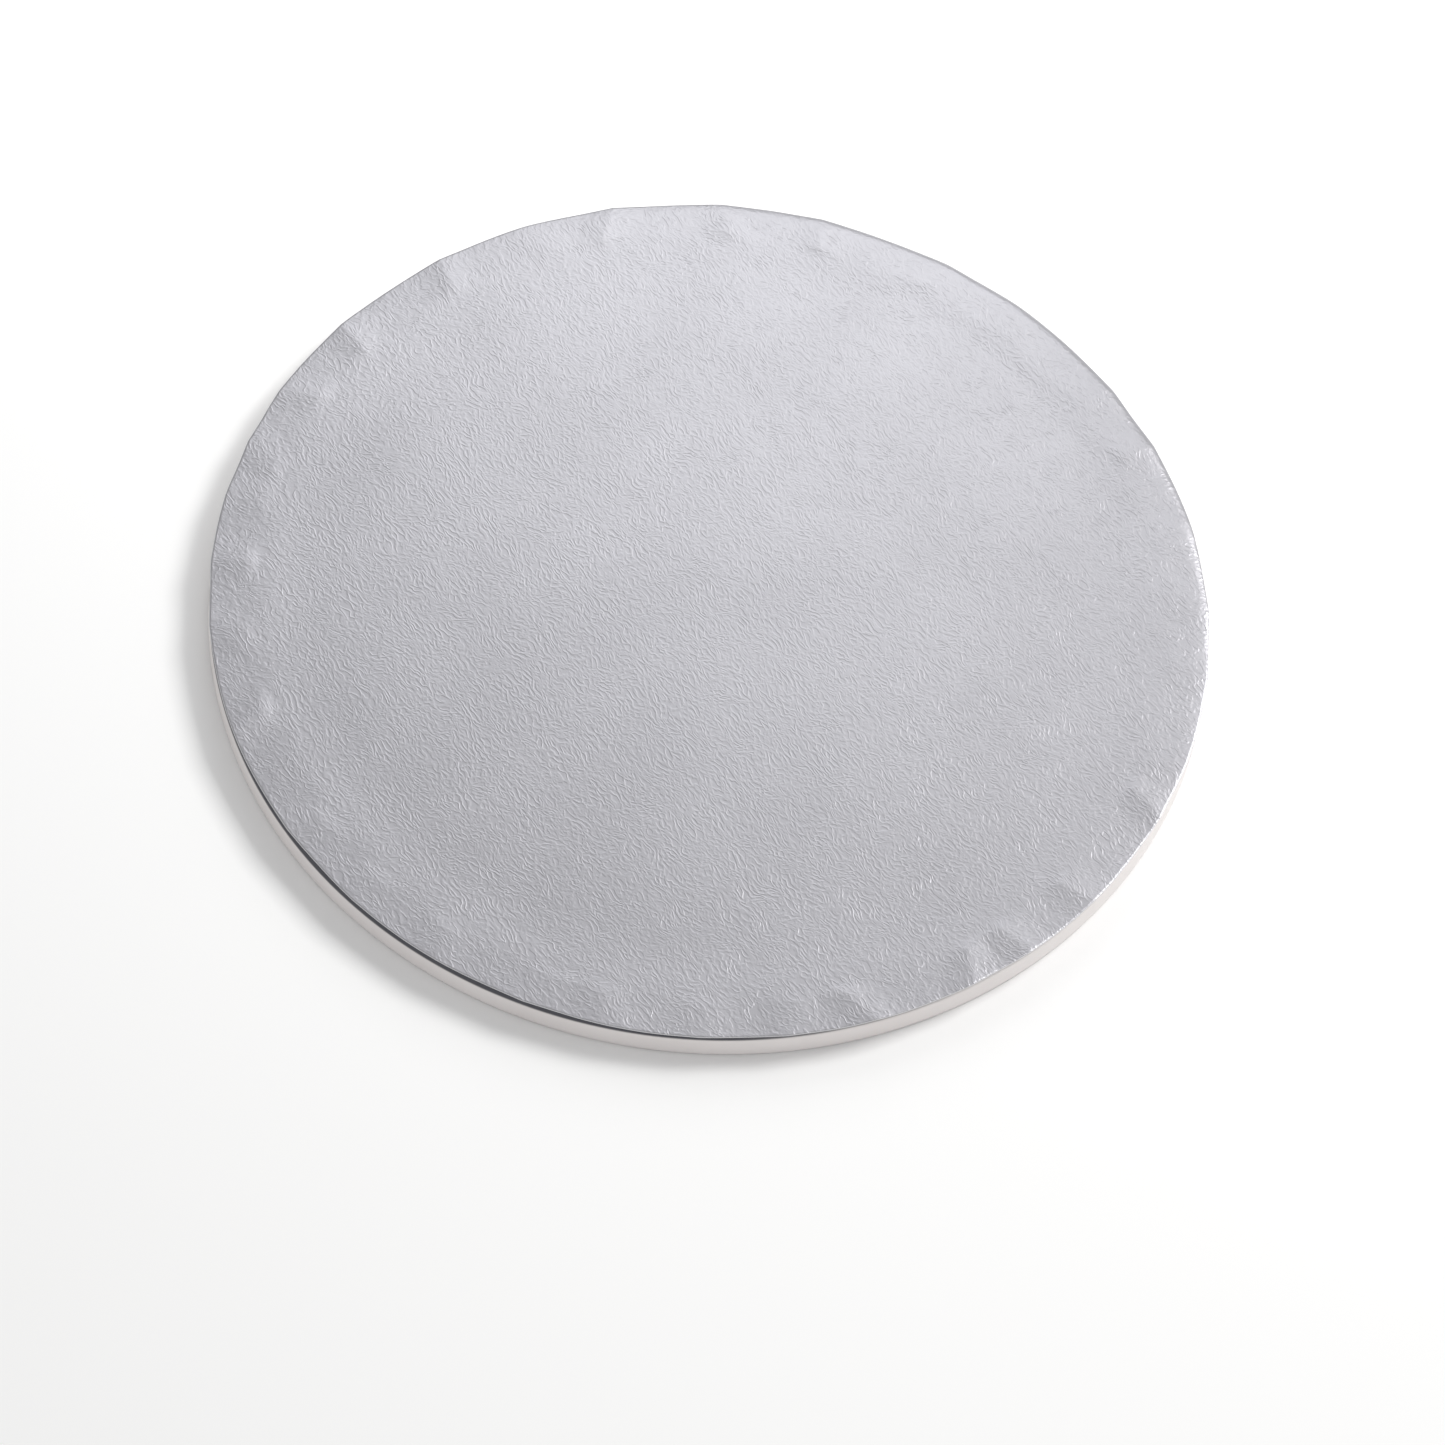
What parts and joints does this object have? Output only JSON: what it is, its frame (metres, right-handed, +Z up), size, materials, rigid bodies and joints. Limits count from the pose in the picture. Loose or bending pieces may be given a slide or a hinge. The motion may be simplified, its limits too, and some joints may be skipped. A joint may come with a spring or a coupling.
{
  "type": "cake board",
  "caption": "Round silver cake board with a smooth wrapped edge: a rigid board disc, a pleated edge band, an embossed foil-paper top and a plain paper base.",
  "frame": {"origin": "under the centre of the disc, on the face that the board rests on", "axes": "+Z up through the thickness of the board, towards the foil-paper face; -Y towards the side that is seen in front"},
  "size_m": [0.35, 0.35, 0.012],
  "materials": {
    "core_board": "matte",
    "edge_paper": "satin",
    "foil_paper": "satin",
    "base_paper": "matte"
  },
  "bodies": {
    "root": {"core_board": "core_board", "edge_band": "edge_paper", "top_sheet": "foil_paper", "base_sheet": "base_paper"}
  },
  "joints": []
}
